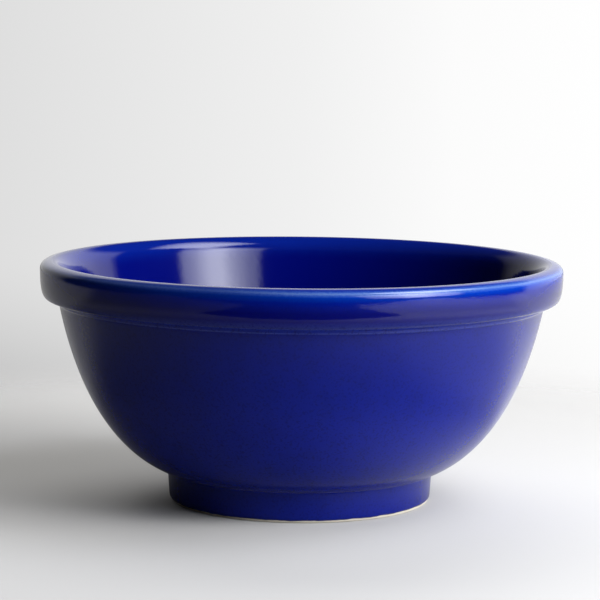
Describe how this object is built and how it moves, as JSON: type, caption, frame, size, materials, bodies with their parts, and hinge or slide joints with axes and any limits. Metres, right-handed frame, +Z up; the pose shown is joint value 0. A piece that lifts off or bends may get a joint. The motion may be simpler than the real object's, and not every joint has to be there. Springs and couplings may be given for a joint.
{
  "type": "salad bowl",
  "caption": "Round footed stoneware salad bowl with a rolled collar, cobalt blue glaze inside and out, and a bare clay standing edge.",
  "frame": {"origin": "centre of the foot ring's standing edge, on the table", "axes": "+Z up along the bowl's turning axis; +X and +Y are any two directions across it, because the bowl is round"},
  "size_m": [0.26, 0.26, 0.12],
  "materials": {
    "stoneware": "bare fired clay, matt and slightly gritty",
    "gloss_cobalt_glaze": "smooth glossy glaze",
    "satin_cobalt_glaze": "satin glaze with a faint orange peel, thinner and paler on edges"
  },
  "bodies": {
    "root": {"bowl_wall": "stoneware", "rim_collar": "stoneware", "foot_ring": "stoneware", "inside_glaze": "gloss_cobalt_glaze", "outside_glaze": "satin_cobalt_glaze", "underside_glaze": "satin_cobalt_glaze"}
  },
  "joints": []
}
